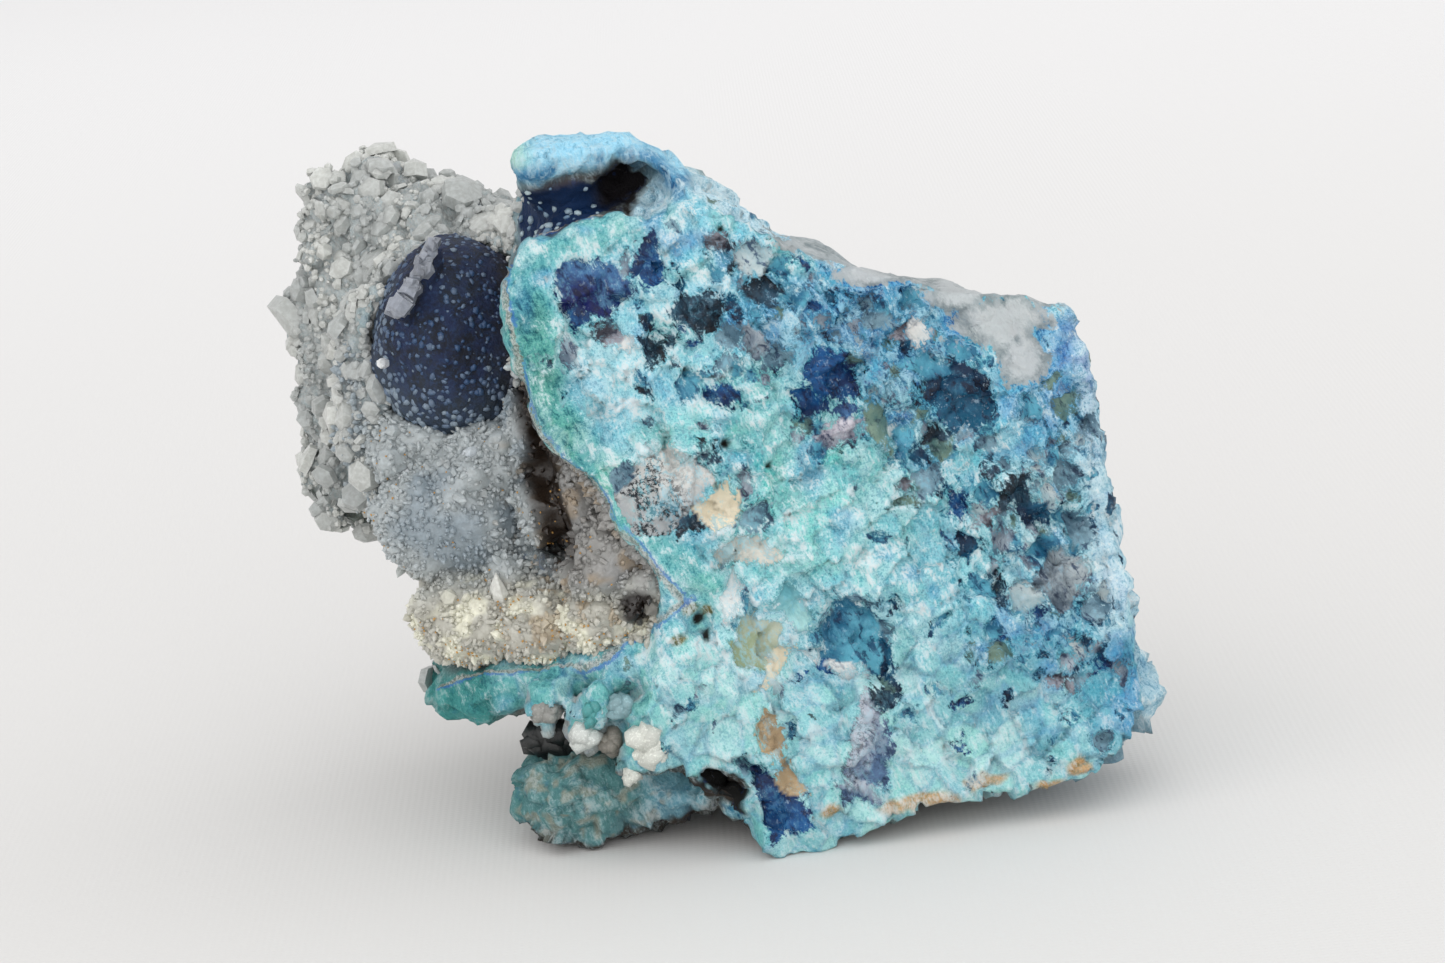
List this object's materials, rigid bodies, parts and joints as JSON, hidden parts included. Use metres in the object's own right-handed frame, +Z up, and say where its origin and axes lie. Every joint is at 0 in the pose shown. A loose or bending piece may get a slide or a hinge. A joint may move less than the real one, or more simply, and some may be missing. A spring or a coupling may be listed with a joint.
{
  "type": "shattuckite specimen",
  "caption": "Hand-sized mineral specimen: blue-green quartz breccia with an open crystal-lined vug and a dark blue shattuckite ball, standing on its worn base.",
  "frame": {"origin": "on the floor under the middle of the specimen's box", "axes": "+X to the right seen from the broken face, along the specimen's longest side; -Y is the side that the broken face and the open vug look to; +Z up"},
  "size_m": [0.0522, 0.0334, 0.0427],
  "materials": {
    "breccia": "earthy blue-green chrysocolla crust with glassy quartz fragments",
    "shattuckite": "dark blue, finely fibrous, dusted with pale quartz grains",
    "druse": "grey-white sparkling quartz crystals, rusty in the creases"
  },
  "bodies": {
    "root": {"breccia_matrix": "breccia", "shattuckite_ball": "shattuckite", "vug_druse": "druse"}
  },
  "joints": []
}
